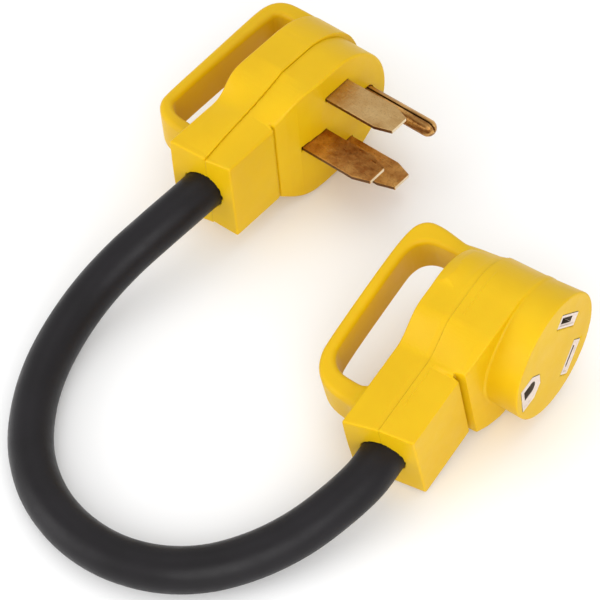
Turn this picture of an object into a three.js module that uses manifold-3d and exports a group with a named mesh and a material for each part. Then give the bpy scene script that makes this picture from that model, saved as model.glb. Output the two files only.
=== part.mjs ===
// Power adapter dogbone: a four-prong plug head and a three-slot socket head,
// each with a grip handle, joined by a short round cord.
// Millimetres, +Z up. +X is the way the plug's prongs point.
// Each head is built in its own axes: x out of the mating face, y from the cord
// end to the round end, z across. It is then placed in the shared frame, whose
// origin is on the floor under the middle of the two heads.
import * as THREE from 'three';
import Module from 'manifold-3d';
import { mergeVertices } from 'three/addons/utils/BufferGeometryUtils.js';

const wasm = await Module();
wasm.setup();

// ---- driving dimensions ----
const GAP = 0.3;                 // clearance between neighbouring pieces
const MARGIN = 1;                // how far a cutter runs past what it cuts
const WALL = 3.2;                // cover wall thickness
const CORD_DIAMETER = 15.4;
const CORD_GRIP = 9;             // how far the jacket runs into a head
const CORD_SIDES = 12;
const CORD_STEPS = 60;
const WIRE_DIAMETER = 3.8;
const WIRE_SIDES = 8;
const WIRE_STEPS = 10;
const CURVE_SEGMENTS = 14;
const BORE_SIDES = 40;
const ROUND_SIDES = 48;
const NOSE_SIDES = 72;
const SMALL_SIDES = 24;

// Plug head
const PLUG = {
  faceX: 0,                      // front plane of the wide part
  tailX: -3.2,                   // front plane of the cord-end block
  seamX: -14,                    // split between the two covers
  rearX: -28.6,
  cordX: -16.3,                  // cord axis
  cordEnd: -53.2,                // y of the cord-end face at its front edge
  endSlant: 0.087,               // the cord-end face leans out towards the rear
  neckWide: -18,                 // y where the neck reaches full width
  neckNarrow: -34,               // y where the cord-end block starts
  grooveY: -29.6,
  roundCentre: 0.8,
  halfWidth: 25.2,
  tailHalf: 17.4,
  step: 0.7,                     // the rear cover stands proud of the front one
};
const PLUG_HANDLE = {
  nearFoot: -43.6, nearTop: -34, farFoot: 29, farTop: 19.5,
  nearOuterX: -52.2, farOuterX: -53.8, innerX: -47.9, nearInner: -38.6, farInner: 22.4,
  nearCorner: 10.5, farCorner: 9.5, nearGapCorner: 4, farGapCorner: 4, height: 16.5,
  flareLength: 0, flareHalf: 0,
};

// Socket head
const SOCKET = {
  faceX: -11.8,
  tailX: -15.6,
  seamX: -28.2,
  rearX: -41,
  cordX: -28.7,
  cordEnd: -56.8,
  endSlant: 0.108,
  neckWide: -13,
  neckNarrow: -30,
  grooveY: -29.8,
  roundCentre: -1.4,
  halfWidth: 23.8,
  tailHalf: 16.9,
  step: -1.2,
};
const SOCKET_HANDLE = {
  nearFoot: -50.4, nearTop: -38, farFoot: 20.4, farTop: 12,
  nearOuterX: -65.9, farOuterX: -65.9, innerX: -61.9, nearInner: -43.4, farInner: 13.8,
  nearCorner: 12, farCorner: 11, nearGapCorner: 6, farGapCorner: 8.5, height: 16.5,
  flareLength: 15, flareHalf: 16,
};
const NOSE_RADIUS = 23.1;
const GROOVE = { half: 0.5, depth: 1.6, rise: 0.4 };

// Where each mating face's centre lies in the shared frame (mm and degrees)
const PLUG_POSE = { x: -36.8, y: 37.6, z: 25.9, yaw: 0, tilt: 0 };
const SOCKET_POSE = { x: 88.6, y: -1.9, z: 27, yaw: 4.9, tilt: 9.5 };

// Prongs: straight-blade 50 A pattern, lengths measured from the face
const BLADE = { width: 12.1, thickness: 1.65, length: 28.2, tipWidth: 7.8, tipLength: 6.5, root: 10.8 };
const HOT_SPREAD = 29.2;         // centre to centre of the two line blades
const NEUTRAL_Y = -12.9;
const GROUND_Y = 15.8;
const PIN = { radius: 3.2, length: 31, bore: 1.5, seam: 0.7, root: 10.8 };
const BLOCK = { radius: 20.6, front: -4.4, back: -10 };

// Socket face: two slanted slots and a U-shaped ground opening, each in a shallow
// recess of its frame. The whole pattern sits a little turned and off centre.
const FACE_TURN = -3.5;          // degrees
const FACE_SHIFT = -1.15;
const RECESS = { border: 0.9, depth: 0.5 };
const SLOT = { length: 8, width: 2.3, y: 8.7, z: 10.8, frameLength: 13, frameWidth: 5 };
const GROUND_SLOT = {
  y: -14.6, length: 6.4, width: 4.8, frameLength: 10.8, frameWidth: 11.8, frameChamfer: 4, frameTip: 4.6,
};
const INSERT = { radius: 19.4, front: -3.6, back: -9 };
const CONTACT = { wall: 0.9, depth: 12, floor: 1.5, squeeze: 0.4 };

// Inside the heads: crimp barrels behind the prongs, the collar that grips the
// jacket, and hand-placed wire routes in head axes
const CRIMP = { x: -14.4, outerRadius: 3.1, innerRadius: 2.3, length: 9, floor: 1.5 };
const COLLAR = { width: 5, jacketGap: 2.5, bite: 2.2 };
const PLUG_TERMINALS = {
  plug_hot_terminal: [-5, 14.6],
  plug_neutral_terminal: [-17, 0],
  plug_ground_terminal: [11, 0],
};
const PLUG_WIRES = {
  hot: [[-16.3, -36, 4.6], [-16, -27, 6], [-14.8, -15, 12.6], [-14.4, -6, 14.6], [-14.4, 1, 14.6]],
  neutral: [[-13.6, -36, -1], [-14, -28, -0.6], [-14.4, -20, 0], [-14.4, -11, 0]],
  ground: [
    [-19.4, -36, -4.6], [-21.4, -26, -6], [-21.4, -8, -6],
    [-19, 2, -4.4], [-14.4, 9, 0], [-14.4, 17, 0],
  ],
};
const SOCKET_WIRES = {
  hot: [[-28.7, -39.5, 4.6], [-29, -30, 5.6], [-29, -12, 8], [-27, 3.3, 9.1], [-23.8, 9.3, 9.1]],
  neutral: [[-28.7, -39.5, -4.6], [-29, -30, -5.6], [-29, -12, -8], [-27, 2, -12.5], [-23.8, 8, -12.5]],
  ground: [[-32.4, -39.5, 0], [-32, -32, 0], [-29, -22, 0], [-23.8, -14.6, -0.3]],
};

// Free cord between the two heads, hand-placed points along its centre (mm)
const CORD_ROUTE = [
  [-53.1, -7.4, 25.9], [-53.1, -16.9, 25.9], [-53.8, -26.4, 25], [-56, -39.4, 22],
  [-58.8, -52.9, 17.6], [-60.1, -67.4, 13], [-58.3, -83.4, 9.5], [-52.6, -100.4, 7.9],
  [-43.6, -115.4, 7.8], [-32, -128, 7.8], [-17.2, -137.2, 7.8], [-0.2, -141.7, 7.8],
  [16.6, -141, 7.8], [31.8, -135.4, 7.8], [44, -125.8, 7.9], [53.2, -112.9, 8.6],
  [59.6, -98.9, 10.2], [63.6, -84.4, 12.9], [65.6, -71.7, 15.7], [64.95, -62, 17.3],
  [64.1, -52.1, 19],
];

// ---- materials ----
const material = (color, roughness, metalness = 0) =>
  new THREE.MeshStandardMaterial({ color, roughness, metalness });
const YELLOW = material(0xecbf24, 0.42);
const BRASS = material(0xb9864a, 0.35, 1);
const BLACK = material(0x242226, 0.5);
const WHITE = material(0xeee6e2, 0.5);
const GREY = material(0x4a4a4c, 0.6);
const HOT_INSULATION = material(0x1d1d1f, 0.55);
const NEUTRAL_INSULATION = material(0xe6e4de, 0.55);
const GROUND_INSULATION = material(0x2f7a3c, 0.55);

// ---- solids ----
function toSolid(geometry) {
  const clean = geometry.index ? geometry.toNonIndexed() : geometry;
  clean.deleteAttribute('normal');
  clean.deleteAttribute('uv');
  const merged = mergeVertices(clean, 1e-4);
  return new wasm.Manifold(new wasm.Mesh({
    numProp: 3,
    vertProperties: new Float32Array(merged.attributes.position.array),
    triVerts: new Uint32Array(merged.index.array),
  }));
}

function toGeometry(solid) {
  const mesh = solid.getMesh();
  const geometry = new THREE.BufferGeometry();
  geometry.setAttribute('position', new THREE.BufferAttribute(mesh.vertProperties.slice(), 3));
  geometry.setIndex(new THREE.BufferAttribute(mesh.triVerts.slice(), 1));
  return geometry;
}

const basis = (x, y, z) => new THREE.Matrix4().makeBasis(
  new THREE.Vector3(...x), new THREE.Vector3(...y), new THREE.Vector3(...z));
const FACING = basis([0, 1, 0], [0, 0, 1], [1, 0, 0]);   // outline in y-z, swept along x
const SIDEWAYS = basis([0, 1, 0], [1, 0, 0], [0, 0, -1]); // outline in y-x, swept along z
const ENDWAYS = basis([1, 0, 0], [0, 0, 1], [0, -1, 0]); // outline in x-z, swept along y

function extrude(shape, depth) {
  return new THREE.ExtrudeGeometry(shape, { depth, bevelEnabled: false, curveSegments: CURVE_SEGMENTS });
}

// An outline drawn in y-z, filling x from back to front
function slab(shape, back, front) {
  const geometry = extrude(shape, front - back);
  geometry.applyMatrix4(FACING);
  geometry.translate(back, 0, 0);
  return toSolid(geometry);
}

// An outline drawn in y-x, filling z symmetrically
function plank(shape, height) {
  const geometry = extrude(shape, height);
  geometry.translate(0, 0, -height / 2);
  geometry.applyMatrix4(SIDEWAYS);
  return toSolid(geometry);
}

function box(x0, x1, y0, y1, z0, z1) {
  const geometry = new THREE.BoxGeometry(x1 - x0, y1 - y0, z1 - z0);
  geometry.translate((x0 + x1) / 2, (y0 + y1) / 2, (z0 + z1) / 2);
  return toSolid(geometry);
}

function rodAlongX(radius, x0, x1, y, z, sides) {
  const geometry = new THREE.CylinderGeometry(radius, radius, x1 - x0, sides);
  geometry.rotateZ(Math.PI / 2);
  geometry.translate((x0 + x1) / 2, y, z);
  return toSolid(geometry);
}

function rodAlongY(radius, y0, y1, x, z, sides) {
  const geometry = new THREE.CylinderGeometry(radius, radius, y1 - y0, sides);
  geometry.translate(x, (y0 + y1) / 2, z);
  return toSolid(geometry);
}

function polygon(points) {
  return new THREE.Shape(points.map(([x, y]) => new THREE.Vector2(x, y)));
}

// ---- head covers ----
// Keyhole outline: cord-end block, S-curved neck, wide part and round end
function headOutline(head, inset, end) {
  const wide = head.halfWidth - inset;
  const narrow = head.tailHalf - inset;
  const middle = (head.neckNarrow + head.neckWide) / 2;
  const shape = new THREE.Shape();
  shape.moveTo(end, -narrow);
  shape.lineTo(head.neckNarrow, -narrow);
  shape.bezierCurveTo(middle, -narrow, middle, -wide, head.neckWide, -wide);
  shape.lineTo(head.roundCentre, -wide);
  shape.absarc(head.roundCentre, 0, wide, -Math.PI / 2, Math.PI / 2, false);
  shape.lineTo(head.neckWide, wide);
  shape.bezierCurveTo(middle, wide, middle, narrow, head.neckNarrow, narrow);
  shape.lineTo(end, narrow);
  shape.closePath();
  return shape;
}

// Where the slanted cord-end face is, at a given x
function endAt(head, x) {
  return head.cordEnd - head.endSlant * (head.tailX - x);
}

// Side profile of a front cover: flat face, sloped neck, groove, cord-end block
function frontProfile(head) {
  const far = head.roundCentre + head.halfWidth + MARGIN;
  const back = head.seamX - MARGIN;
  return polygon([
    [far, back], [far, head.faceX], [head.neckWide - MARGIN, head.faceX],
    [head.grooveY + GROOVE.half, head.tailX - GROOVE.rise], [head.grooveY, head.tailX - GROOVE.depth],
    [head.grooveY - GROOVE.half, head.tailX], [head.cordEnd, head.tailX], [endAt(head, back), back],
  ]);
}

function rearProfile(head) {
  const far = head.roundCentre + head.halfWidth + 2 * MARGIN;
  const front = head.seamX + MARGIN;
  const back = head.rearX - MARGIN;
  return polygon([[far, back], [far, front], [endAt(head, front), front], [endAt(head, back), back]]);
}

// A head's keyhole block, long enough at the cord end to be cut to its profile
function headBlock(head, inset, back, front, profile) {
  const end = endAt(head, head.rearX) - 2 * MARGIN;
  return slab(headOutline(head, inset, end), back, front)
    .intersect(plank(profile, 2 * head.halfWidth + 4 * MARGIN));
}

function headHollow(head, back, front) {
  return slab(headOutline(head, WALL, head.cordEnd + WALL), back, front);
}

function cordBore(head) {
  const start = head.cordEnd - 4 * MARGIN;
  const end = head.cordEnd + CORD_GRIP + 2 * MARGIN;
  return rodAlongY(CORD_DIAMETER / 2 + GAP, start, end, head.cordX, 0, BORE_SIDES);
}

function frontCover(head) {
  const body = headBlock(head, 0, head.seamX + GAP / 2, head.faceX, frontProfile(head));
  const hollow = headHollow(head, head.seamX - MARGIN, head.tailX - WALL);
  return body.subtract(hollow).subtract(cordBore(head));
}

// Outer outline of a grip handle, from the far leg round to the near leg
function handleRing(handle, rootX) {
  const ring = new THREE.Shape();
  ring.moveTo(handle.farFoot, rootX);
  ring.lineTo(handle.farFoot, handle.farOuterX + handle.farCorner);
  ring.quadraticCurveTo(handle.farFoot, handle.farOuterX, handle.farTop, handle.farOuterX);
  ring.lineTo(handle.nearTop, handle.nearOuterX);
  ring.quadraticCurveTo(
    handle.nearFoot + 2, handle.nearOuterX + 0.6,
    handle.nearFoot, handle.nearOuterX + handle.nearCorner);
  ring.lineTo(handle.nearFoot, rootX);
  ring.closePath();
  return ring;
}

function fingerGap(handle, rearX) {
  const { nearInner, farInner, innerX, nearGapCorner, farGapCorner } = handle;
  const gap = new THREE.Shape();
  gap.moveTo(nearInner, rearX);
  gap.lineTo(farInner, rearX);
  gap.lineTo(farInner, innerX + farGapCorner);
  gap.quadraticCurveTo(farInner, innerX, farInner - farGapCorner, innerX);
  gap.lineTo(nearInner + nearGapCorner, innerX);
  gap.quadraticCurveTo(nearInner, innerX, nearInner, innerX + nearGapCorner);
  gap.closePath();
  return gap;
}

function gripRing(head, handle, height) {
  const ringRoot = head.rearX + WALL - MARGIN;
  return plank(handleRing(handle, ringRoot), height)
    .subtract(plank(fingerGap(handle, head.rearX), height + 4 * MARGIN));
}

// The far leg widens towards the cover, and stays inside the cover's own outline
function flaredRoot(head, handle) {
  const root = head.rearX + WALL - MARGIN;
  const tip = head.rearX - handle.flareLength;
  const half = handle.height / 2;
  const geometry = extrude(polygon([
    [root, -handle.flareHalf], [root, handle.flareHalf], [head.rearX, handle.flareHalf],
    [tip, half], [tip, -half], [head.rearX, -handle.flareHalf],
  ]), handle.farFoot);
  geometry.applyMatrix4(ENDWAYS);
  geometry.translate(0, handle.farFoot, 0);
  const outline = slab(headOutline(head, -head.step, head.cordEnd), tip, root);
  return toSolid(geometry)
    .intersect(outline)
    .intersect(gripRing(head, handle, 2 * head.halfWidth));
}

function rearCover(head, handle) {
  const body = headBlock(head, -head.step, head.rearX, head.seamX - GAP / 2, rearProfile(head));
  const ring = gripRing(head, handle, handle.height);
  const grip = handle.flareLength > 0 ? ring.add(flaredRoot(head, handle)) : ring;
  const hollow = headHollow(head, head.rearX + WALL, head.seamX + MARGIN);
  return body.add(grip).subtract(hollow).subtract(cordBore(head));
}

// Internal collar that grips the end of the jacket
function cordCollar(head) {
  const start = head.cordEnd + CORD_GRIP + COLLAR.jacketGap;
  const end = start + COLLAR.width;
  const reach = head.tailHalf - WALL - GAP;
  const frontX = head.tailX - WALL - GAP;
  const backX = head.rearX + WALL + GAP;
  const block = box(backX, frontX, start, end, -reach, reach);
  const opening = rodAlongY(
    CORD_DIAMETER / 2 - COLLAR.bite, start - MARGIN, end + MARGIN, head.cordX, 0, BORE_SIDES);
  return block.subtract(opening);
}

// ---- plug pieces ----
function bladeOutline() {
  const { width, length, tipWidth, tipLength, root } = BLADE;
  return polygon([
    [-width / 2, -root], [width / 2, -root], [width / 2, length - tipLength],
    [tipWidth / 2, length], [-tipWidth / 2, length], [-width / 2, length - tipLength],
  ]);
}

function blade(y, z) {
  return plank(bladeOutline(), BLADE.thickness).translate([0, y, z]);
}

function bladeHole(y, z, x0, x1) {
  const halfWidth = BLADE.width / 2 + GAP;
  const halfThick = BLADE.thickness / 2 + GAP;
  return box(x0, x1, y - halfWidth, y + halfWidth, z - halfThick, z + halfThick);
}

const BLADE_SITES = {
  hot_blade_x: [0, HOT_SPREAD / 2],
  hot_blade_y: [0, -HOT_SPREAD / 2],
  neutral_blade: [NEUTRAL_Y, 0],
};

// Folded ground pin: a round-nosed tube with a lengthwise seam on its upper side,
// open right through the nose
function groundPin() {
  const { radius, length, bore, seam, root } = PIN;
  const profile = new THREE.Path();
  profile.moveTo(0, length - radius);
  profile.lineTo(bore, length - radius);
  profile.lineTo(bore, -root);
  profile.lineTo(radius, -root);
  profile.lineTo(radius, length - radius);
  profile.absarc(0, length - radius, radius, 0, Math.PI / 2, false);
  const geometry = new THREE.LatheGeometry(profile.getPoints(8), SMALL_SIDES);
  geometry.rotateZ(-Math.PI / 2);
  const slit = box(-root - MARGIN, length + MARGIN, -seam / 2, seam / 2, 0, radius + MARGIN);
  return toSolid(geometry).subtract(slit).translate([0, GROUND_Y, 0]);
}

function prongHoles(x0, x1) {
  const holes = Object.values(BLADE_SITES).map(([y, z]) => bladeHole(y, z, x0, x1));
  const pinHole = rodAlongX(PIN.radius + GAP, x0, x1, GROUND_Y, 0, BORE_SIDES);
  return holes.reduce((sum, hole) => sum.add(hole), pinHole);
}

// The wide part is hollowed further forward, for the block that holds the prongs
function plugFrontCover() {
  const pocket = rodAlongX(BLOCK.radius + GAP, BLOCK.back, BLOCK.front + GAP, 0, 0, ROUND_SIDES);
  return frontCover(PLUG).subtract(pocket).subtract(prongHoles(BLOCK.back, MARGIN));
}

function contactBlock() {
  const block = rodAlongX(BLOCK.radius, BLOCK.back, BLOCK.front, 0, 0, ROUND_SIDES);
  return block.subtract(prongHoles(BLOCK.back - MARGIN, BLOCK.front + MARGIN));
}

// Crimp barrel lying along y, just behind a prong's root
function crimpBarrel(y, z) {
  const { x, outerRadius, innerRadius, length, floor } = CRIMP;
  const outer = rodAlongY(outerRadius, y, y + length, x, z, SMALL_SIDES);
  const inner = rodAlongY(innerRadius, y - MARGIN, y + length - floor, x, z, SMALL_SIDES);
  return outer.subtract(inner);
}

// ---- socket pieces ----
function ontoFace(solid) {
  return solid.rotate([FACE_TURN, 0, 0]).translate([0, 0, FACE_SHIFT]);
}

function slantedBox(length, width, x0, x1, side) {
  return ontoFace(box(x0, x1, -length / 2, length / 2, -width / 2, width / 2)
    .rotate([side * -45, 0, 0])
    .translate([0, SLOT.y, side * SLOT.z]));
}

// U-shaped ground opening, flat towards the cord end
function groundSlot(grow, x0, x1) {
  const half = (GROUND_SLOT.width + grow) / 2;
  const reach = (GROUND_SLOT.length + grow) / 2;
  const shape = new THREE.Shape();
  shape.moveTo(-reach, half);
  shape.lineTo(-reach, -half);
  shape.lineTo(reach - half, -half);
  shape.absarc(reach - half, 0, half, -Math.PI / 2, Math.PI / 2, false);
  shape.closePath();
  return ontoFace(slab(shape, x0, x1).translate([0, GROUND_SLOT.y, 0]));
}

// Frame around the ground opening, narrower towards the middle of the face
function groundFrame(grow, x0, x1) {
  const reach = (GROUND_SLOT.frameLength + grow) / 2;
  const half = (GROUND_SLOT.frameWidth + grow) / 2;
  const tip = (GROUND_SLOT.frameTip + grow) / 2;
  const shoulder = reach - GROUND_SLOT.frameChamfer;
  const shape = polygon([
    [-reach, -half], [shoulder, -half], [reach, -tip], [reach, tip], [shoulder, half], [-reach, half],
  ]);
  return ontoFace(slab(shape, x0, x1).translate([0, GROUND_SLOT.y, 0]));
}

function faceFrames(x0, x1, clearance) {
  const grow = 2 * clearance;
  const [upper, lower] = [1, -1].map((side) =>
    slantedBox(SLOT.frameLength + grow, SLOT.frameWidth + grow, x0, x1, side));
  return groundFrame(grow, x0, x1).add(upper).add(lower);
}

function faceSlots(x0, x1) {
  const [upper, lower] = [1, -1].map((side) => slantedBox(SLOT.length, SLOT.width, x0, x1, side));
  return groundSlot(0, x0, x1).add(upper).add(lower);
}

function socketFrontCover() {
  const nose = rodAlongX(NOSE_RADIUS, SOCKET.faceX - MARGIN, 0, 0, 0, NOSE_SIDES);
  const hollow = rodAlongX(
    NOSE_RADIUS - WALL, SOCKET.seamX - MARGIN, INSERT.front + GAP, 0, 0, ROUND_SIDES);
  return frontCover(SOCKET).add(nose).subtract(hollow)
    .subtract(faceFrames(INSERT.front - WALL, MARGIN, GAP));
}

function faceInsert() {
  return rodAlongX(INSERT.radius, INSERT.back, INSERT.front, 0, 0, ROUND_SIDES)
    .add(faceFrames(INSERT.front - MARGIN, 0, 0))
    .subtract(faceFrames(-RECESS.depth, MARGIN, -RECESS.border))
    .subtract(faceSlots(INSERT.back - MARGIN, MARGIN));
}

// Folded brass sleeve behind a slanted slot, open towards the slot
function lineContact(side) {
  const { wall, depth, floor, squeeze } = CONTACT;
  const front = INSERT.back - GAP;
  const outer = slantedBox(SLOT.length + 2 * wall, SLOT.width + 2 * wall, front - depth, front, side);
  const inner = slantedBox(
    SLOT.length - squeeze, SLOT.width - squeeze, front - depth + floor, front + MARGIN, side);
  return outer.subtract(inner);
}

function groundContact() {
  const { wall, depth, floor, squeeze } = CONTACT;
  const front = INSERT.back - GAP;
  return groundSlot(2 * wall, front - depth, front)
    .subtract(groundSlot(-squeeze, front - depth + floor, front + MARGIN));
}

// ---- wires and cord ----
function tube(points, diameter, sides, steps) {
  const path = new THREE.CatmullRomCurve3(points.map((p) => new THREE.Vector3(...p)), false, 'centripetal');
  const section = new THREE.Shape();
  for (let i = 0; i < sides; i += 1) {
    const angle = (2 * Math.PI * i) / sides;
    const x = Math.cos(angle) * diameter / 2;
    const y = Math.sin(angle) * diameter / 2;
    if (i === 0) section.moveTo(x, y);
    else section.lineTo(x, y);
  }
  section.closePath();
  return new THREE.ExtrudeGeometry(section, { steps, bevelEnabled: false, extrudePath: path });
}

function wire(points) {
  return toSolid(tube(points, WIRE_DIAMETER, WIRE_SIDES, WIRE_STEPS));
}

// ---- assembly ----
const group = new THREE.Group();
group.name = 'power_adapter_dogbone';

function placement(pose) {
  const turn = new THREE.Matrix4().makeRotationZ(THREE.MathUtils.degToRad(pose.yaw));
  const lean = new THREE.Matrix4().makeRotationX(THREE.MathUtils.degToRad(pose.tilt));
  return new THREE.Matrix4().makeTranslation(pose.x, pose.y, pose.z).multiply(turn).multiply(lean);
}

function addPiece(name, solid, look, place) {
  const geometry = toGeometry(solid);
  geometry.applyMatrix4(place);
  geometry.computeVertexNormals();
  const mesh = new THREE.Mesh(geometry, look);
  mesh.name = name;
  group.add(mesh);
}

function addWires(head, routes, place) {
  addPiece(`${head}_hot_wire`, wire(routes.hot), HOT_INSULATION, place);
  addPiece(`${head}_neutral_wire`, wire(routes.neutral), NEUTRAL_INSULATION, place);
  addPiece(`${head}_ground_wire`, wire(routes.ground), GROUND_INSULATION, place);
}

function addPlug() {
  const place = placement(PLUG_POSE);
  addPiece('plug_front_cover', plugFrontCover(), YELLOW, place);
  addPiece('plug_rear_cover', rearCover(PLUG, PLUG_HANDLE), YELLOW, place);
  addPiece('plug_contact_block', contactBlock(), GREY, place);
  addPiece('plug_cord_collar', cordCollar(PLUG), GREY, place);
  for (const [name, [y, z]] of Object.entries(BLADE_SITES)) {
    addPiece(name, blade(y, z), BRASS, place);
  }
  addPiece('ground_pin', groundPin(), BRASS, place);
  for (const [name, [y, z]] of Object.entries(PLUG_TERMINALS)) {
    addPiece(name, crimpBarrel(y, z), BRASS, place);
  }
  addWires('plug', PLUG_WIRES, place);
}

function addSocket() {
  const place = placement(SOCKET_POSE);
  addPiece('socket_front_cover', socketFrontCover(), YELLOW, place);
  addPiece('socket_rear_cover', rearCover(SOCKET, SOCKET_HANDLE), YELLOW, place);
  addPiece('socket_face_insert', faceInsert(), WHITE, place);
  addPiece('socket_cord_collar', cordCollar(SOCKET), GREY, place);
  addPiece('socket_hot_contact', lineContact(1), BRASS, place);
  addPiece('socket_neutral_contact', lineContact(-1), BRASS, place);
  addPiece('socket_ground_contact', groundContact(), BRASS, place);
  addWires('socket', SOCKET_WIRES, place);
}

function addCord() {
  const jacket = toSolid(tube(CORD_ROUTE, CORD_DIAMETER, CORD_SIDES, CORD_STEPS));
  addPiece('cord', jacket, BLACK, new THREE.Matrix4());
}

addPlug();
addSocket();
addCord();

export default group;
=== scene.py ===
"""Power adapter dogbone: a 50 A plug head and a 30 A socket head, each with a grip
handle, joined by a short thick cord. Metres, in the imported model's own frame.
Head axes, as in the CAD: x out of the mating face, y from the cord end to the round
end, z across. Shapes are worked out in millimetres there, then placed."""
import math

import bmesh
import bpy
import numpy as np
from mathutils import Euler, Matrix, Vector


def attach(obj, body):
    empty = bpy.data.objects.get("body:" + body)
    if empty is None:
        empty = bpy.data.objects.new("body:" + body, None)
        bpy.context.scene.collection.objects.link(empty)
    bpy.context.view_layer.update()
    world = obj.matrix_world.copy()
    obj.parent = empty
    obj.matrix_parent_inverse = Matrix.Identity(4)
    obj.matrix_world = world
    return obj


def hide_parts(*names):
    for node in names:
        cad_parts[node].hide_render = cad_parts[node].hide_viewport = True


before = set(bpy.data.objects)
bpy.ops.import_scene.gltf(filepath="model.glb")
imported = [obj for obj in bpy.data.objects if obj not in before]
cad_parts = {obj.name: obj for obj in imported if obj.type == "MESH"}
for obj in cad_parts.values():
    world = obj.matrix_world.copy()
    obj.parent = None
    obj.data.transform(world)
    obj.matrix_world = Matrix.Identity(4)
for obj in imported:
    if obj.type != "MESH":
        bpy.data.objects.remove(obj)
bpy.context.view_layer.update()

MM = 0.001
BODY = "root"


def add_object(name, data):
    made = bpy.data.objects.new(name, data)
    bpy.context.scene.collection.objects.link(made)
    return made


def keep(piece, node):
    """Stand the piece in for its CAD node."""
    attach(piece, BODY)
    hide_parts(node)


# ---- camera and cord ----
CAMERA_TARGET = Vector((-8.64, -19.26, 0)) * MM
CAMERA_AZIMUTH = 45.15
CAMERA_ELEVATION = 50.56
CAMERA_ROLL = 5.76
CAMERA_DISTANCE = 0.849
CAMERA_LENS = 145.8

CORD_DIAMETER = 15.4
CORD_STEPS = 6           # curve points from one route point to the next
CORD_ROUTE = [
    (-53.1, -7.4, 25.9), (-53.1, -16.9, 25.9), (-53.8, -26.4, 25), (-56, -39.4, 22),
    (-58.8, -52.9, 17.6), (-60.1, -67.4, 13), (-58.3, -83.4, 9.5), (-52.6, -100.4, 7.9),
    (-43.6, -115.4, 7.8), (-32, -128, 7.8), (-17.2, -137.2, 7.8), (-0.2, -141.7, 7.8),
    (16.6, -141, 7.8), (31.8, -135.4, 7.8), (44, -125.8, 7.9), (53.2, -112.9, 8.6),
    (59.6, -98.9, 10.2), (63.6, -84.4, 12.9), (65.6, -71.7, 15.7), (64.95, -62, 17.3),
    (64.1, -52.1, 19),
]


def add_camera():
    azimuth = math.radians(CAMERA_AZIMUTH)
    elevation = math.radians(CAMERA_ELEVATION)
    back = Vector((
        math.sin(azimuth) * math.cos(elevation),
        -math.cos(azimuth) * math.cos(elevation),
        math.sin(elevation),
    ))
    data = bpy.data.cameras.new("camera")
    data.lens = CAMERA_LENS
    data.sensor_width = 36
    data.clip_start = 0.05
    data.clip_end = 20
    camera = add_object("camera", data)
    camera.location = CAMERA_TARGET + back * CAMERA_DISTANCE
    upright = (-back).to_track_quat("-Z", "Y")
    camera.rotation_mode = "QUATERNION"
    camera.rotation_quaternion = upright @ Euler((0, 0, math.radians(-CAMERA_ROLL))).to_quaternion()
    bpy.context.scene.camera = camera


def catmull_rom(points, steps):
    """Centripetal Catmull-Rom through the points, as the CAD tube follows."""
    points = [np.array(p, float) for p in points]
    points = [2 * points[0] - points[1]] + points + [2 * points[-1] - points[-2]]
    out = []
    for p0, p1, p2, p3 in zip(points, points[1:], points[2:], points[3:]):
        knots = [0.0]
        for a, b in ((p0, p1), (p1, p2), (p2, p3)):
            knots.append(knots[-1] + math.sqrt(np.linalg.norm(b - a)))
        t0, t1, t2, t3 = knots
        for t in np.linspace(t1, t2, steps, endpoint=False):
            a1 = (t1 - t) / (t1 - t0) * p0 + (t - t0) / (t1 - t0) * p1
            a2 = (t2 - t) / (t2 - t1) * p1 + (t - t1) / (t2 - t1) * p2
            a3 = (t3 - t) / (t3 - t2) * p2 + (t - t2) / (t3 - t2) * p3
            b1 = (t2 - t) / (t2 - t0) * a1 + (t - t0) / (t2 - t0) * a2
            b2 = (t3 - t) / (t3 - t1) * a2 + (t - t1) / (t3 - t1) * a3
            out.append((t2 - t) / (t2 - t1) * b1 + (t - t1) / (t2 - t1) * b2)
    out.append(points[-2])
    return out


def add_cord(look):
    centre = catmull_rom(CORD_ROUTE, CORD_STEPS)
    curve = bpy.data.curves.new("cord_jacket", "CURVE")
    curve.dimensions = "3D"
    curve.bevel_depth = CORD_DIAMETER / 2 * MM
    curve.bevel_resolution = 10
    curve.use_fill_caps = True
    curve.materials.append(look)
    spline = curve.splines.new("POLY")
    spline.points.add(len(centre) - 1)
    for point, place in zip(spline.points, centre):
        point.co = (*(place * MM), 1)
    spline.use_smooth = True
    return add_object("cord_jacket", curve)


add_camera()


# ---- head dimensions (mm, head axes) ----
# The front faces, seams, cord axes, cord ends and widths are the CAD's. The necks, slants,
# steps, drafts, roundings, bulge and mould lines shape the covers in more detail than it does.
WALL = 3.2
SEAM_GAP = 0.01          # from the seam to each cover
CORNER = 0.9             # rounding of the outline's corners
REAR_EDGE = 0.9          # rounding of the rear face's edge
END_EDGE = 0.7           # rounding of the cord-end face's edge
INNER_EDGE = 0.5         # rounding inside the hollow
NECK_STEPS = 14          # outline points along the neck
ROUND_STEPS = 25         # and along a quarter of the round end
END_BULGE = 1.0          # how far the cord-end face bulges at its middle
CORD_CLEARANCE = 0.06
CORD_DEPTH = 11          # how far the cord's hole goes in
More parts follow.
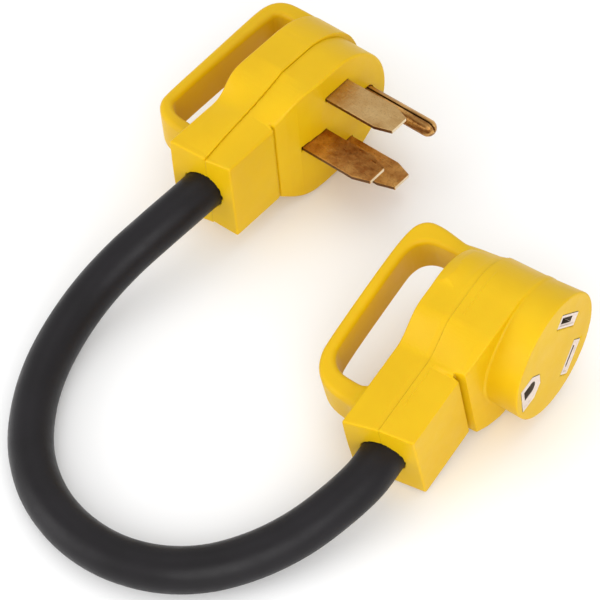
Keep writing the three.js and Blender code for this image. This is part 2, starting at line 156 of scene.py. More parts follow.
# For each head: tail_x is the front of the block at the cord end, seam_x the seam between the
# covers, rear_x the rear face, cord_x the cord's axis; cord_end and end_slant place the
# cord-end face, round_centre and half_width the round end. The rear cover stands out from
# the seam by step, or in where that is negative, and by far_step more at the round end. draft
# narrows it behind draft_x, and round_draft narrows its round end. seam_round and front_edge
# are roundings. A mould line is an x and the y where it starts and ends. flare is the slope at
# which the far handle leg widens towards the cover, and grip_fillet joins the handle to it.
# place, yaw and tilt (degrees) put the head in the model's frame.
PLUG = {
    "tail_x": -3.2, "seam_x": -14, "rear_x": -28.6, "cord_x": -16.3,
    "cord_end": -53.2, "end_slant": 0.1, "round_centre": 0.8, "half_width": 25.2,
    "step": 0.7, "far_step": 1.3, "draft": 0.0, "draft_x": -14, "seam_round": 0.12,
    "mould_lines": (), "flare": 0.0, "round_draft": 0.0, "grip_fillet": 3.0,
    "front_edge": 0.9,
    "place": (-36.8, 37.6, 25.9), "yaw": 0, "tilt": 0,
}
SOCKET = {
    "tail_x": -15.6, "seam_x": -28.2, "rear_x": -41.4, "cord_x": -28.7,
    "cord_end": -56.8, "end_slant": 0.125, "round_centre": -1.4, "half_width": 23.8,
    "step": -0.4, "far_step": 0.0, "draft": 2.0, "draft_x": -30.4, "seam_round": 0.03,
    "mould_lines": ((-24.8, -12.5, 8), (-25.9, -47, -29.5)), "flare": 0.55,
    "round_draft": 2.2, "grip_fillet": 6.0, "front_edge": 0.5,
    "place": (88.6, -1.9, 27), "yaw": 4.9, "tilt": 9.5,
}
# neck edges in y-z from the cord end to the wide part: at the front, the seam, the rear
PLUG_NECKS = (
    [(-70, 17.4), (-29.7, 17.4), (-29.5, 17.9), (-26, 20.2), (-22, 24.4), (-15, 25.2)],
    [(-70, 14.5), (-52.2, 16.2), (-52, 16.3), (-38, 20), (-26, 20.5), (-12, 25.2)],
    [(-70, 17.4), (-34.2, 17.4), (-34, 17.4), (-26, 17.4), (-26, 25.2), (-18, 25.2)],
)
SOCKET_NECKS = (
    [(-70, 16.9), (-29.9, 16.9), (-29.7, 18.6), (-26, 20.6), (-19, 23.7), (-14.5, 23.8)],
    [(-70, 16.9), (-28.7, 16.9), (-28.5, 16.9), (-25.5, 17.1), (-18, 23.6), (-14.5, 23.8)],
    [(-70, 16.9), (-29.2, 16.9), (-29, 16.9), (-24, 16.9), (-20, 23.8), (-13, 23.8)],
)
FAR_STEP_START = 4       # y where the rear cover's far step begins
FAR_STEP_SPAN = 20
ROUND_DRAFT_START = -4   # y where the round end's draft begins
ROUND_DRAFT_SPAN = 24
MOULD_LINE = 0.2         # half width
MOULD_RISE = 0.13
HANDLE_HALF = 8.25       # half the handle's width, along z
HANDLE_EDGE = 2.0
FLARE_LENGTH = 11.5      # the widening fades at the steeper slope FLARE_FADE beyond this
FLARE_FADE = 1.5
FLARE_ROUND = 7.0
FLARE_FILLET = 3.0
NOSE_RADIUS = 23.1
NOSE_TAPER = 0.045
NOSE_EDGE = 0.5
NOSE_ROOT = -13.5        # x
NOSE_FILLET = 0.9
NOSE_FACE_WALL = 3.3
FACE_TURN = -3.5         # degrees
FACE_SHIFT = -1.15
FRAME_CLEARANCE = 0.12
FRAME_DEPTH = 7
SLOT_CENTRE = (8.7, 10.8)
SLOT_HALF = (6.5, 2.5)   # half its frame's length and width
GROUND_CENTRE = -14.6    # y of the ground opening's frame
GROUND_HALF = (5.4, 5.9)
GROUND_TIP = 2.3         # half the width of its narrow end
GROUND_CHAMFER = 4
BLADE_SITES = {"hot_blade_x": (0, 14.6), "hot_blade_y": (0, -14.6), "neutral_blade": (-12.9, 0)}
BLADE_HALF_WIDTH = 6.05
BLADE_HALF_THICK = 0.825
GROUND_Y = 15.8
PIN_RADIUS = 3.2
PRONG_CLEARANCE = 0.22
PRONG_DEPTH = 12
POCKET_RADIUS = 20.9     # the hollow behind the plug's face
PLUG_FACE_WALL = 4.1

# outlines in y-x of what is behind the front: the face, the groove and the cord-end block
PLUG_PROFILE = [
    (40, -40), (40, 0), (-9, 0), (-14, -0.3), (-20, -1.1), (-25, -2.3), (-29.0, -3.6),
    (-29.5, -5.2), (-30.0, -3.5),
    (-31.2, -3.2), (-70, -3.2), (-70, -40),
]
SOCKET_PROFILE = [
    (40, -60), (40, -11.8), (-12, -11.8), (-18, -12.1), (-24, -12.9), (-28.8, -14.1),
    (-29.2, -18.0), (-30.2, -18.0),
    (-30.5, -15.6), (-70, -15.6), (-70, -60),
]


def bezier(a, b, c, d, steps):
    a, b, c, d = (np.array(p, float) for p in (a, b, c, d))
    return [
        (1 - t) ** 3 * a + 3 * (1 - t) ** 2 * t * b + 3 * (1 - t) * t ** 2 * c + t ** 3 * d
        for t in np.linspace(0, 1, steps)
    ]


def arc(centre, radius, start, end, steps):
    return [
        np.array((centre[0] + radius * math.cos(t), centre[1] + radius * math.sin(t)))
        for t in np.radians(np.linspace(start, end, steps))
    ]


def keyhole(head, neck):
    """Outline in y-z, CORNER inside the walls: cord-end block, neck and round end."""
    upper = [(y, z - CORNER) for y, z in neck[:2] + bezier(*neck[2:], NECK_STEPS)]
    upper += arc((head["round_centre"], 0), head["half_width"] - CORNER, 90, 0, ROUND_STEPS)
    lower = [(y, -z) for y, z in reversed(upper[:-1])]
    return upper + lower


# ---- shapes as distance fields, in mm: negative inside ----
TINY = 1e-12             # keeps a division from meeting zero
FINE_GRID = 0.42
COARSE_GRID = 1.1
GRID_GROWTH = 0.3        # how fast the grid coarsens beyond FINE_REACH of a spot
FINE_REACH = 2
ASTRIDE = (-0.3, -0.1, 0.1, 0.3)
CLEARED = 0.45           # grid positions this near a fine line are replaced
SLOPE_NUDGE = 0.02
SETTLING_PASSES = 3
SETTLING_STEP = 0.3
LEAST_SLOPE_SQUARED = 0.25
LEAST_NORMAL = 1e-6


def outline_distance(points, u, v):
    """Distance from a closed outline, worked out edge by edge."""
    nearest = np.inf
    inside = False
    last = points[-1]
    for point in points:
        edge_u, edge_v = last[0] - point[0], last[1] - point[1]
        from_u, from_v = u - point[0], v - point[1]
        length_squared = edge_u ** 2 + edge_v ** 2 + TINY
        along = np.clip((from_u * edge_u + from_v * edge_v) / length_squared, 0, 1)
        away = (from_u - edge_u * along) ** 2 + (from_v - edge_v * along) ** 2
        nearest = np.minimum(nearest, away)
        spans = (point[1] > v) != (last[1] > v)
        cross = edge_u * (v - point[1]) / (edge_v if edge_v else TINY) + point[0]
        inside = inside ^ (spans & (u < cross))
        last = point
    return np.sqrt(nearest) * np.where(inside, -1, 1)


def cut(a, b, radius):
    """What is inside both, with a rounded edge where they meet."""
    return np.minimum(np.maximum(a, b), -radius) + np.hypot(
        np.maximum(a + radius, 0), np.maximum(b + radius, 0))


def join(a, b, radius):
    """What is inside either, with a fillet where they meet."""
    return np.maximum(np.minimum(a, b), radius) - np.hypot(
        np.maximum(radius - a, 0), np.maximum(radius - b, 0))


def grid(low, high, spots, lines=()):
    """Grid positions that are close together near the spots, and closer astride fine lines."""
    marks = [low]
    while marks[-1] < high:
        reach = min(abs(marks[-1] - spot) for spot in spots)
        gap = FINE_GRID + GRID_GROWTH * (reach - FINE_REACH)
        marks.append(marks[-1] + min(COARSE_GRID, max(FINE_GRID, gap)))
    marks = np.array(marks)
    for line in lines:
        marks = marks[np.abs(marks - line) > CLEARED]
        marks = np.append(marks, [line + offset for offset in ASTRIDE])
    return np.sort(marks)


def net(field, axes):
    """Surface of the field's inside, as one point in each grid cell it crosses."""
    xs, ys, zs = axes
    size = (len(xs), len(ys), len(zs))
    depth = np.broadcast_to(field(xs[:, None, None], ys[None, :, None], zs[None, None, :]), size)
    inside = depth < 0
    filled = np.zeros([n - 1 for n in size], int)
    corners = [(i, j, k) for i in (0, 1) for j in (0, 1) for k in (0, 1)]
    for i, j, k in corners:
        filled += inside[i:size[0] - 1 + i, j:size[1] - 1 + j, k:size[2] - 1 + k]
    cells = np.argwhere((filled > 0) & (filled < 8))
    total = np.zeros((len(cells), 3))
    count = np.zeros(len(cells))
    for first in corners:
        for axis in range(3):
            if first[axis]:
                continue
            second = list(first)
            second[axis] = 1
            a = cells + first
            b = cells + second
            depth_a = depth[tuple(a.T)]
            depth_b = depth[tuple(b.T)]
            crossed = (depth_a < 0) != (depth_b < 0)
            share = np.where(crossed, depth_a / np.where(crossed, depth_a - depth_b, 1), 0)[:, None]
            place_a = np.stack([xs[a[:, 0]], ys[a[:, 1]], zs[a[:, 2]]], 1)
            place_b = np.stack([xs[b[:, 0]], ys[b[:, 1]], zs[b[:, 2]]], 1)
            total += np.where(crossed[:, None], place_a + share * (place_b - place_a), 0)
            count += crossed
    points = total / count[:, None]
    number = np.full([n - 1 for n in size], -1)
    number[tuple(cells.T)] = np.arange(len(cells))
    faces = []
    for axis in range(3):
        one, two = (axis + 1) % 3, (axis + 2) % 3
        step = np.zeros(3, int)
        step[axis] = 1
        near = inside[tuple(slice(0, n - s) for n, s in zip(size, step))]
        far = inside[tuple(slice(s, n) for n, s in zip(size, step))]
        edges = np.argwhere(near != far)
        leaving = near[tuple(edges.T)]
        back_one = np.eye(3, dtype=int)[one]
        back_two = np.eye(3, dtype=int)[two]
        ring = [edges - back_one - back_two, edges - back_two, edges, edges - back_one]
        quads = np.stack([number[tuple(r.T)] for r in ring], 1)
        faces.append(np.where(leaving[:, None], quads, quads[:, ::-1]))
    return points, np.concatenate(faces)


def slope(field, points):
    """The field's gradient at each point."""
    nudge = SLOPE_NUDGE
    x, y, z = points.T
    return np.stack([
        field(x + nudge, y, z) - field(x - nudge, y, z),
        field(x, y + nudge, z) - field(x, y - nudge, z),
        field(x, y, z + nudge) - field(x, y, z - nudge),
    ], 1) / (2 * nudge)


def head_matrix(head):
    turn = Matrix.Rotation(math.radians(head["yaw"]), 4, "Z")
    lean = Matrix.Rotation(math.radians(head["tilt"]), 4, "X")
    return Matrix.Translation(Vector(head["place"]) * MM) @ turn @ lean @ Matrix.Scale(MM, 4)


def add_mesh(name, points, faces, normals, matrix, look):
    data = bpy.data.meshes.new(name)
    data.from_pydata([tuple(p) for p in points], [], [tuple(int(i) for i in f) for f in faces])
    data.transform(matrix)
    data.polygons.foreach_set("use_smooth", [True] * len(data.polygons))
    data.materials.append(look)
    turn = np.array(matrix.to_3x3().normalized())
    data.normals_split_custom_set_from_vertices([tuple(turn @ n) for n in normals])
    data.validate()
    return add_object(name, data)


def moulded(name, field, axes, head, look):
    """A piece made from a distance field in head axes, its points settled onto the surface."""
    points, faces = net(field, axes)
    for _ in range(SETTLING_PASSES):
        gradient = slope(field, points)
        size = np.maximum((gradient ** 2).sum(1), LEAST_SLOPE_SQUARED)
        move = (field(*points.T) / size)[:, None] * gradient
        points = points - np.clip(move, -SETTLING_STEP, SETTLING_STEP)
    normals = slope(field, points)
    normals /= np.maximum(np.linalg.norm(normals, axis=1), LEAST_NORMAL)[:, None]
    return add_mesh(name, points, faces, normals, head_matrix(head), look)


# ---- materials: noise scales are per metre, heights in metres ----
GLOSS_FINER = 3          # the gloss varies this much finer than the colour
WAVE_HEIGHT = 0.001
GRAIN_HEIGHT = 0.0002
PLASTIC_DEPTH = (0.0025, 0.0012, 0.0003)
DRAWN = (0.12, 1, 1)     # stretches the drawing lines, and the pin's painted dark reflection stripes, along the prongs
# how fine the pin's painted dark reflection stripes are
REFLECTION_STREAK_SCALE = 480
STAIN_SCALE = 95
SPECK_SCALE = 1500
LINE_SCALE = 1600
PIT_SCALE = 420
LINE_HEIGHT = 0.0001
PIT_HEIGHT = 0.0006


def new_material(name):
    look = bpy.data.materials.new(name)
    look.use_nodes = True
    return look, look.node_tree.nodes, look.node_tree.links


def noise(nodes, links, vector, scale, detail=3, roughness=0.5):
    node = nodes.new("ShaderNodeTexNoise")
    node.inputs["Scale"].default_value = scale
    node.inputs["Detail"].default_value = detail
    node.inputs["Roughness"].default_value = roughness
    links.new(vector, node.inputs["Vector"])
    return node.outputs["Fac"]


def spread(nodes, links, value, low, high, start=0.3, end=0.7):
    node = nodes.new("ShaderNodeMapRange")
    node.inputs["From Min"].default_value = start
    node.inputs["From Max"].default_value = end
    node.inputs["To Min"].default_value = low
    node.inputs["To Max"].default_value = high
    links.new(value, node.inputs["Value"])
    return node.outputs["Result"]


def blend_colour(nodes, links, factor, first, second):
    node = nodes.new("ShaderNodeMix")
    node.data_type = "RGBA"
    links.new(factor, node.inputs["Factor"])
    for socket, value in ((node.inputs[6], first), (node.inputs[7], second)):
        if isinstance(value, tuple):
            socket.default_value = (*value, 1)
        else:
            links.new(value, socket)
    return node.outputs[2]


def bump(nodes, links, height, strength, distance, under=None):
    node = nodes.new("ShaderNodeBump")
    node.inputs["Strength"].default_value = strength
    node.inputs["Distance"].default_value = distance
    links.new(height, node.inputs["Height"])
    if under is not None:
        links.new(under, node.inputs["Normal"])
    return node.outputs["Normal"]


def surface(name, light, dark, rough, grain, wave, metal=0.0, patch=40, soft=0.0, gleam=0.5):
    """Moulded or rolled stuff: colour that drifts, uneven gloss, fine grain over slow waves.

    rough is the least and most roughness. grain and wave are each a scale and a strength."""
    look, nodes, links = new_material(name)
    shader = nodes["Principled BSDF"]
    vector = nodes.new("ShaderNodeTexCoord").outputs["Object"]
    patches = noise(nodes, links, vector, patch, detail=4, roughness=0.6)
    drift = spread(nodes, links, patches, low=0, high=1)
    links.new(blend_colour(nodes, links, drift, light, dark), shader.inputs["Base Color"])
    gloss = noise(nodes, links, vector, patch * GLOSS_FINER, detail=5, roughness=0.65)
    links.new(spread(nodes, links, gloss, *rough), shader.inputs["Roughness"])
    wave_scale, wave_strength = wave
    waves = noise(nodes, links, vector, wave_scale, detail=2)
    slow = bump(nodes, links, waves, wave_strength, WAVE_HEIGHT)
    grain_scale, grain_strength = grain
    grains = noise(nodes, links, vector, grain_scale, detail=3, roughness=0.7)
    fine = bump(nodes, links, grains, grain_strength, GRAIN_HEIGHT, under=slow)
    links.new(fine, shader.inputs["Normal"])
    shader.inputs["Metallic"].default_value = metal
    shader.inputs["Specular IOR Level"].default_value = gleam
    if soft:
        shader.inputs["Subsurface Weight"].default_value = soft
        shader.inputs["Subsurface Radius"].default_value = PLASTIC_DEPTH
        shader.inputs["Subsurface Scale"].default_value = 1.0
    return look


def rolled_metal(name, clean, tarnish_and_dark_reflection, spot, reflection_streaks=False):
    """Bare stamped brass: tarnished patches, or when asked painted dark reflections in stripes
    along its length; dark specks and drawing lines.
    """
    look, nodes, links = new_material(name)
    shader = nodes["Principled BSDF"]
    place = nodes.new("ShaderNodeTexCoord")
    stretched = nodes.new("ShaderNodeMapping")
    stretched.inputs["Scale"].default_value = DRAWN
    links.new(place.outputs["Object"], stretched.inputs["Vector"])
    plain = place.outputs["Object"]
    along = stretched.outputs["Vector"]
    # on the pin the stripes are painted dark reflections, stretched along its length
    if reflection_streaks:
        tarnish_and_reflection = noise(nodes, links, along, REFLECTION_STREAK_SCALE, detail=3, roughness=0.5)
    else:
        tarnish_and_reflection = noise(nodes, links, plain, STAIN_SCALE, detail=4, roughness=0.62)
    broad = spread(nodes, links, tarnish_and_reflection, low=0, high=1, start=0.36, end=0.66)
    specks = noise(nodes, links, plain, SPECK_SCALE, detail=3, roughness=0.6)
    speck = spread(nodes, links, specks, low=0, high=0.45, start=0.52, end=0.75)
    lines = noise(nodes, links, along, LINE_SCALE, detail=3, roughness=0.6)
    base = blend_colour(nodes, links, broad, clean, tarnish_and_dark_reflection)
    links.new(blend_colour(nodes, links, speck, base, spot), shader.inputs["Base Color"])
    links.new(spread(nodes, links, lines, low=0.26, high=0.5), shader.inputs["Roughness"])
    drawn = bump(nodes, links, lines, strength=0.3, distance=LINE_HEIGHT)
    pits = noise(nodes, links, plain, PIT_SCALE, detail=4, roughness=0.6)
    pitted = bump(nodes, links, pits, strength=0.35, distance=PIT_HEIGHT, under=drawn)
    links.new(pitted, shader.inputs["Normal"])
    shader.inputs["Metallic"].default_value = 1.0
    return look


YELLOW = surface(
    "yellow_plastic", (0.69, 0.43, 0.002), (0.64, 0.385, 0.001),
    rough=(0.36, 0.52), grain=(2600, 0.14), wave=(110, 0.14), patch=28, soft=0.2, gleam=0.2,
)
JACKET = surface(
    "black_jacket", (0.0095, 0.008, 0.010), (0.006, 0.005, 0.006),
    rough=(0.34, 0.5), grain=(1500, 0.25), wave=(70, 0.2), gleam=0.22,
)
BRASS = rolled_metal(
    "prong_brass", (0.70, 0.40, 0.12), (0.34, 0.13, 0.03), (0.12, 0.05, 0.018),
)
PALE_BRASS = rolled_metal(
    "pale_brass", (0.56, 0.37, 0.16), (0.44, 0.25, 0.085), (0.16, 0.08, 0.03),
)
STAMPED = rolled_metal(
    "stamped_side", (0.20, 0.10, 0.035), (0.11, 0.045, 0.015), (0.05, 0.02, 0.01),
)
# the pin's dark stripes are painted reflections, and its darker colour is their painted shade
PIN_BRASS = rolled_metal(
    "pin_brass", (0.70, 0.40, 0.13), (0.20, 0.08, 0.02), (0.06, 0.025, 0.01), reflection_streaks=True,
)
EDGE = surface(
    "sheared_edge", (0.86, 0.74, 0.52), (0.74, 0.58, 0.36),
    rough=(0.25, 0.4), grain=(4000, 0.2), wave=(300, 0.1), metal=1.0, patch=200,
)
INSERT = surface(
    "slot_insert", (0.72, 0.62, 0.55), (0.60, 0.50, 0.43),
    rough=(0.4, 0.55), grain=(3000, 0.15), wave=(300, 0.1), patch=300,
)
DEEP = surface(
    "slot_shadow", (0.10, 0.075, 0.05), (0.07, 0.052, 0.035),
    rough=(0.5, 0.65), grain=(3000, 0.15), wave=(300, 0.1), patch=300,
)
CONTACT = surface(
    "contact_brass", (0.5, 0.30, 0.10), (0.32, 0.17, 0.06),
    rough=(0.35, 0.55), grain=(3000, 0.2), wave=(200, 0.1), metal=1.0, patch=150,
)
BLOCK = surface(
    "inner_block", (0.07, 0.07, 0.075), (0.05, 0.05, 0.055),
    rough=(0.45, 0.6), grain=(2500, 0.2), wave=(120, 0.1),
)


def wire(name, light, dark):
    return surface(name, light, dark, rough=(0.4, 0.5), grain=(2500, 0.1), wave=(200, 0.1))


INNER_LOOKS = {
    "hot_wire": wire("wire_black", (0.012, 0.012, 0.013), (0.02, 0.02, 0.021)),
    "neutral_wire": wire("wire_white", (0.79, 0.77, 0.73), (0.7, 0.68, 0.63)),
    "ground_wire": wire("wire_green", (0.03, 0.19, 0.045), (0.02, 0.15, 0.035)),
    "_terminal": CONTACT, "_contact": CONTACT, "_block": BLOCK, "_collar": BLOCK,
}

cord_piece = add_cord(JACKET)
keep(cord_piece, "cord")


# ---- the four covers ----
for one_head, necks in ((PLUG, PLUG_NECKS), (SOCKET, SOCKET_NECKS)):
    one_head["outlines"] = [keyhole(one_head, neck) for neck in necks]


def mould_lines(head, x, y):
    """Height of the fine lines that the mould leaves along the sides."""
    rise = 0
    for line_x, low, high in head["mould_lines"]:
        fade = np.clip(np.minimum(y - low, high - y), 0, 1)
        rise = rise + fade * np.maximum(0, 1 - np.abs(x - line_x) / MOULD_LINE)
    return MOULD_RISE * rise


def side_of(head, x, y, z):
    """Distance from the side walls, whose neck changes from the front to the seam to the rear."""
    front, seam, rear = (outline_distance(outline, y, z) for outline in head["outlines"])
    ahead = np.clip((x - head["seam_x"]) / (head["tail_x"] - head["seam_x"]), 0, 1)
    behind = np.clip((head["seam_x"] - x) / (head["seam_x"] - head["rear_x"]), 0, 1)
    drafted = np.clip((head["draft_x"] - x) / (head["draft_x"] - head["rear_x"]), 0, 1)
    wall = seam + ahead * (front - seam) + behind * (rear - seam) + head["draft"] * drafted
    far = np.clip((y - ROUND_DRAFT_START) / ROUND_DRAFT_SPAN, 0, 1)
    wall = wall + head["round_draft"] * behind * far ** 2 * (3 - 2 * far)
    return wall - CORNER - mould_lines(head, x, y)


def past_end(head, x, y, z):
    """How far a point is beyond the slanted cord-end face, which bulges towards the rear."""
    slant = head["end_slant"] * (head["tail_x"] - x)
    behind = np.clip((head["seam_x"] - x) / (head["seam_x"] - head["rear_x"]), 0, 1)
    bulge = END_BULGE * behind * (1 - (z / head["half_width"]) ** 2)
    return head["cord_end"] - slant - bulge - y


def cord_bore(head, x, y, z):
    radius = CORD_DIAMETER / 2 + CORD_CLEARANCE
    return np.maximum(np.hypot(x - head["cord_x"], z) - radius, y - (head["cord_end"] + CORD_DEPTH))


def prong_openings(x, y, z):
    openings = np.hypot(y - GROUND_Y, z) - PIN_RADIUS - PRONG_CLEARANCE
    for site_y, site_z in BLADE_SITES.values():
        across = np.abs(y - site_y) - BLADE_HALF_WIDTH - PRONG_CLEARANCE
        thick = np.abs(z - site_z) - BLADE_HALF_THICK - PRONG_CLEARANCE
        openings = np.minimum(openings, np.maximum(across, thick))
    return np.maximum(openings, -PRONG_DEPTH - x)


def front_body(head, profile, x, y, z):
    """The front cover's outside, and the hollow behind its cord-end block."""
    side = side_of(head, x, y, z)
    body = cut(side, outline_distance(profile, y, x), head["front_edge"])
    body = cut(body, past_end(head, x, y, z), END_EDGE)
    hollow = cut(side + WALL, past_end(head, x, y, z) + WALL, INNER_EDGE)
    return body, np.maximum(hollow, x - (head["tail_x"] - WALL))


def plug_front(x, y, z):
    body, hollow = front_body(PLUG, PLUG_PROFILE, x, y, z)
    body = cut(body, PLUG["seam_x"] + SEAM_GAP - x, PLUG["seam_round"])
    pocket = np.maximum(np.hypot(y, z) - POCKET_RADIUS, x + PLUG_FACE_WALL)
    body = np.maximum(body, -np.minimum(hollow, pocket))
    body = np.maximum(body, -cord_bore(PLUG, x, y, z))
    return np.maximum(body, -prong_openings(x, y, z))


def socket_front(x, y, z):
    body, hollow = front_body(SOCKET, SOCKET_PROFILE, x, y, z)
    around = np.hypot(y, z)
    nose = cut(around - NOSE_RADIUS - NOSE_TAPER * x, x, NOSE_EDGE)
    nose = np.maximum(nose, NOSE_ROOT - x)
    body = join(body, nose, NOSE_FILLET)
    body = cut(body, SOCKET["seam_x"] + SEAM_GAP - x, SOCKET["seam_round"])
    inner = np.maximum(around - (NOSE_RADIUS - WALL), x + NOSE_FACE_WALL)
    body = np.maximum(body, -np.minimum(hollow, inner))
    body = np.maximum(body, -cord_bore(SOCKET, x, y, z))
    return np.maximum(body, -face_frames(x, y, z))


def slot_frame(y, z, side):
    """Frame round a slot that slants at 45 degrees, on one side of the face."""
    dy, dz = y - SLOT_CENTRE[0], z - side * SLOT_CENTRE[1]
    half = math.sqrt(0.5)
    along, across = (dy - side * dz) * half, (side * dy + dz) * half
    return np.maximum(
        np.abs(along) - SLOT_HALF[0] - FRAME_CLEARANCE,
        np.abs(across) - SLOT_HALF[1] - FRAME_CLEARANCE,
    )


def ground_frame(y, z):
    reach, half = (size + FRAME_CLEARANCE for size in GROUND_HALF)
    tip = GROUND_TIP + FRAME_CLEARANCE
    shoulder = reach - GROUND_CHAMFER
    shape = [
        (-reach, -half), (shoulder, -half), (reach, -tip),
        (reach, tip), (shoulder, half), (-reach, half),
    ]
    return outline_distance(shape, y - GROUND_CENTRE, z)


def face_frames(x, y, z):
    """The openings in the socket's face that the insert's frames sit in."""
    turn = math.radians(FACE_TURN)
    z = z - FACE_SHIFT
    y, z = y * math.cos(turn) + z * math.sin(turn), z * math.cos(turn) - y * math.sin(turn)
    frames = ground_frame(y, z)
    for side in (1, -1):
        frames = np.minimum(frames, slot_frame(y, z, side))
    return np.maximum(frames, -FRAME_DEPTH - x)


def rounded(outline):
    """The closed outline with each corner cut off twice."""
    for _ in range(2):
        points = [np.array(p, float) for p in outline]
        outline = []
        for a, b in zip(points, points[1:] + points[:1]):
            outline += [0.75 * a + 0.25 * b, 0.25 * a + 0.75 * b]
    return outline


def rear_field(head, outer, inner):
    """The rear cover with its handle, whose outer and inner outlines are in y-x."""
    outer, inner = rounded(outer), rounded(inner)

    def field(x, y, z):
        side = side_of(head, x, y, z)
        far = np.clip((y - FAR_STEP_START) / FAR_STEP_SPAN, 0, 1)
        proud = head["step"] + head["far_step"] * far
        body = cut(side - proud, head["rear_x"] - x, REAR_EDGE)
        ring = np.maximum(outline_distance(outer, y, x), -outline_distance(inner, y, x))
        grip = cut(ring, np.abs(z) - HANDLE_HALF, HANDLE_EDGE)
        if head["flare"]:
            back = np.maximum(head["rear_x"] - x, 0)
            inset = head["flare"] * back + FLARE_FADE * np.maximum(back - FLARE_LENGTH, 0)
            root = cut(side - proud + inset, ring, FLARE_ROUND)
            root = np.maximum(root, -y)
            grip = join(grip, root, FLARE_FILLET)
        body = join(body, grip, head["grip_fillet"])
        body = cut(body, past_end(head, x, y, z), END_EDGE)
        body = cut(body, x - (head["seam_x"] - SEAM_GAP), head["seam_round"])
        hollow = cut(side + WALL, past_end(head, x, y, z) + WALL, INNER_EDGE)
        body = np.maximum(body, -np.maximum(hollow, head["rear_x"] + WALL - x))
        return np.maximum(body, -cord_bore(head, x, y, z))
    return field


PLUG_GRIP_OUTER = [
    (27.5, -17.5), (28.5, -22), (28.9, -27.5), (29.2, -33), (29.2, -44.2), (28.6, -48.2),
    (26.8, -51.4), (23.6, -53.6), (19, -54.5), (10, -54.3), (-12, -53.5), (-33.5, -52.8),
    (-37.4, -51.9), (-40.6, -49.2), (-42.8, -45.6), (-43.9, -41.5), (-44.4, -27), (0, -27),
]
PLUG_GRIP_INNER = [
    (22.4, -26), (22.4, -44.2), (21.4, -47.1), (18.6, -48.5), (-33, -48.3), (-35.8, -47.1),
    (-37.9, -44), (-38.6, -40), (-38.6, -26),
]
SOCKET_GRIP_OUTER = [
    (16.5, -33), (18.3, -38), (18.7, -42), (19.0, -46), (20.0, -51), (20.9, -56), (20.8, -61.2),
    (18.2, -64.5), (13.8, -66.0), (3, -66.6), (-36, -65.6), (-42.0, -64.3), (-47.0, -61.1),
    (-50.2, -56), (-51.3, -50), (-51.7, -39), (0, -36),
]
SOCKET_GRIP_INNER = [
    (13.8, -38), (13.8, -53.6), (13.0, -57.2), (10.8, -60.1), (7.2, -61.6), (3, -61.9),
    (-35, -61.1), (-39.2, -59.6), (-42.4, -56.2), (-43.4, -51.6), (-43.4, -38),
]


def add_cover(name, node, head, field, axes):
    keep(moulded(name, field, axes, head, YELLOW), node)


add_cover("plug_front_shell", "plug_front_cover", PLUG, plug_front, (
    grid(-15.5, 1.5, (-14, -4, 0)),
    grid(-57, 28, (-54, -29.6, -19, -7, 6, 12, 19, 25)),
    grid(-27.5, 27.5, (-24.5, -17, -14.6, 0, 14.6, 17, 24.5)),
))
PLUG_REAR = rear_field(PLUG, PLUG_GRIP_OUTER, PLUG_GRIP_INNER)
add_cover("plug_rear_shell", "plug_rear_cover", PLUG, PLUG_REAR, (
    grid(-55.5, -12.5, (-52, -48, -28.6, -14)),
    grid(-58, 31, (-55, -42, -38, 22, 28)),
    grid(-28, 28, (-25, -17.5, -8.6, 8.6, 17.5, 25)),
))
add_cover("socket_front_shell", "socket_front_cover", SOCKET, socket_front, (
    grid(-29.7, 1.5, (-28, -16, -11.8, 0), (-28.2, -25.9, -24.8)),
    grid(-61, 26, (-57.5, -30, -20, -10, 9, 23)),
    grid(-27, 27, (-23.5, -16.5, -6, 6, 11, 16.5, 23.5)),
))
SOCKET_REAR = rear_field(SOCKET, SOCKET_GRIP_OUTER, SOCKET_GRIP_INNER)
add_cover("socket_rear_shell", "socket_rear_cover", SOCKET, SOCKET_REAR, (
    grid(-68, -26.7, (-65, -62, -41, -28), (-28.2,)),
    grid(-62, 26, (-59.5, -50, -43, 13, 20, 24)),
    grid(-27.5, 27.5, (-23, -17, -8.6, 8.6, 17, 23)),
))


# ---- prongs and face insert: the CAD shapes with softened edges (metres) ----
SAME_POINT = 1e-6
FLAT_ANGLE = math.radians(2)
SHARP_ANGLE = math.radians(30)
BLADE_BEVEL = 0.00018
INSERT_BEVEL = 0.00015
PIN_BEVEL = 0.00012
FACING = 0.5             # the part of a face's normal that counts as facing that way
RECESS_FLOOR = -0.8      # mm: the insert's faces deeper than this are slots


def softened(node, name, width, looks, pick=None):
    """A bevelled copy of a CAD node, with a look for each face that pick chooses by index."""
    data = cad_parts[node].data.copy()
    data.name = name
    data.materials.clear()
    for look in looks:
        data.materials.append(look)
    shape = bmesh.new()
    shape.from_mesh(data)
    bmesh.ops.remove_doubles(shape, verts=shape.verts, dist=SAME_POINT)
    bmesh.ops.dissolve_limit(shape, angle_limit=FLAT_ANGLE, verts=shape.verts, edges=shape.edges)
    for face in shape.faces:
        face.material_index = pick(face) if pick else 0
    folds = [edge for edge in shape.edges if len(edge.link_faces) == 2]
    sharp = [edge for edge in folds if edge.calc_face_angle(0) > SHARP_ANGLE]
    bmesh.ops.bevel(shape, geom=sharp, offset=width, segments=2, profile=0.5, affect="EDGES")
    for face in shape.faces:
        face.smooth = True
    shape.to_mesh(data)
    shape.free()
    piece = add_object(name, data)
    harden = piece.modifiers.new("harden", "WEIGHTED_NORMAL")
    harden.keep_sharp = True
    keep(piece, node)


def sheared(face):
    """Bright metal on a blade's tip, dark on its long narrow sides."""
    if face.normal.x > FACING:
        return 1
    return 2 if abs(face.normal.y) > FACING else 0


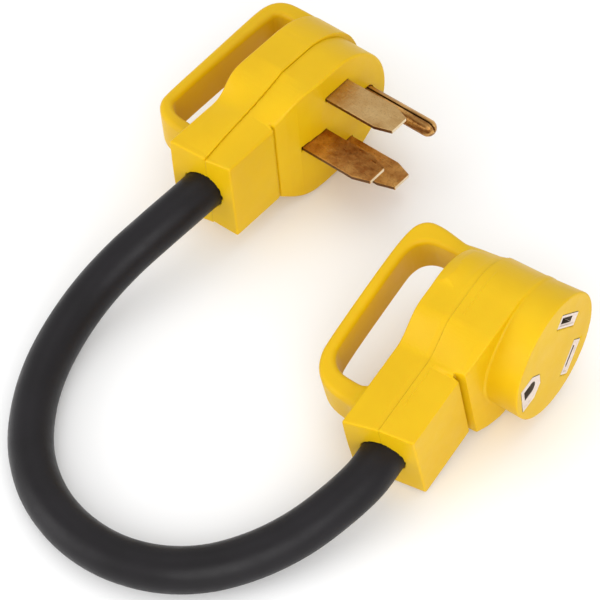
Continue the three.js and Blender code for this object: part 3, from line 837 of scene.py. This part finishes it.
def sunken(face):
    """The slots behind the shallow recesses are in the dark."""
    return 1 if (TO_SOCKET @ face.calc_center_median()).x < RECESS_FLOOR else 0


TO_SOCKET = head_matrix(SOCKET).inverted()
for blade in BLADE_SITES:
    flat = PALE_BRASS if blade == "hot_blade_x" else BRASS
    softened(blade, blade + "_bevelled", BLADE_BEVEL, (flat, EDGE, STAMPED), sheared)
softened("socket_face_insert", "slot_frames", INSERT_BEVEL, (INSERT, DEEP), sunken)
softened("ground_pin", "ground_pin_folded", PIN_BEVEL, (PIN_BRASS,))


# ---- pieces inside, which keep their CAD shapes ----
for node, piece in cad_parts.items():
    for ending, look in INNER_LOOKS.items():
        if node.endswith(ending):
            piece.data.materials.clear()
            piece.data.materials.append(look)


# ---- studio ----
WHITE = (1, 1, 1, 1)
FLOOR_GREY = (0.93, 0.93, 0.93, 1)
FLOOR_HALF = 3
WORLD_STRENGTH = 0.87
LIGHT_TARGET = Vector((0, 0, 0.02))
bpy.context.scene.view_settings.view_transform = "Standard"


def add_light(name, place, energy, size):
    data = bpy.data.lights.new(name, "AREA")
    data.energy = energy
    data.shape = "DISK"
    data.size = size
    light = add_object(name, data)
    light.location = place
    light.rotation_euler = (LIGHT_TARGET - Vector(place)).to_track_quat("-Z", "Y").to_euler()


def add_floor():
    data = bpy.data.meshes.new("floor")
    half = FLOOR_HALF
    corners = [(-half, -half, 0), (half, -half, 0), (half, half, 0), (-half, half, 0)]
    data.from_pydata(corners, [], [(0, 1, 2, 3)])
    floor = add_object("floor", data)
    look, nodes, _ = new_material("floor")
    nodes["Principled BSDF"].inputs["Base Color"].default_value = FLOOR_GREY
    data.materials.append(look)


world = bpy.data.worlds.new("studio")
bpy.context.scene.world = world
world.use_nodes = True
world.node_tree.nodes["Background"].inputs["Color"].default_value = WHITE
world.node_tree.nodes["Background"].inputs["Strength"].default_value = WORLD_STRENGTH
add_light("key", (1.0, -0.85, 0.8), energy=13.0, size=1.3)
add_light("fill", (-0.8, -1.2, 0.55), energy=7.5, size=1.2)
add_light("top", (-0.2, 0.2, 1.5), energy=2.0, size=1.2)
add_floor()
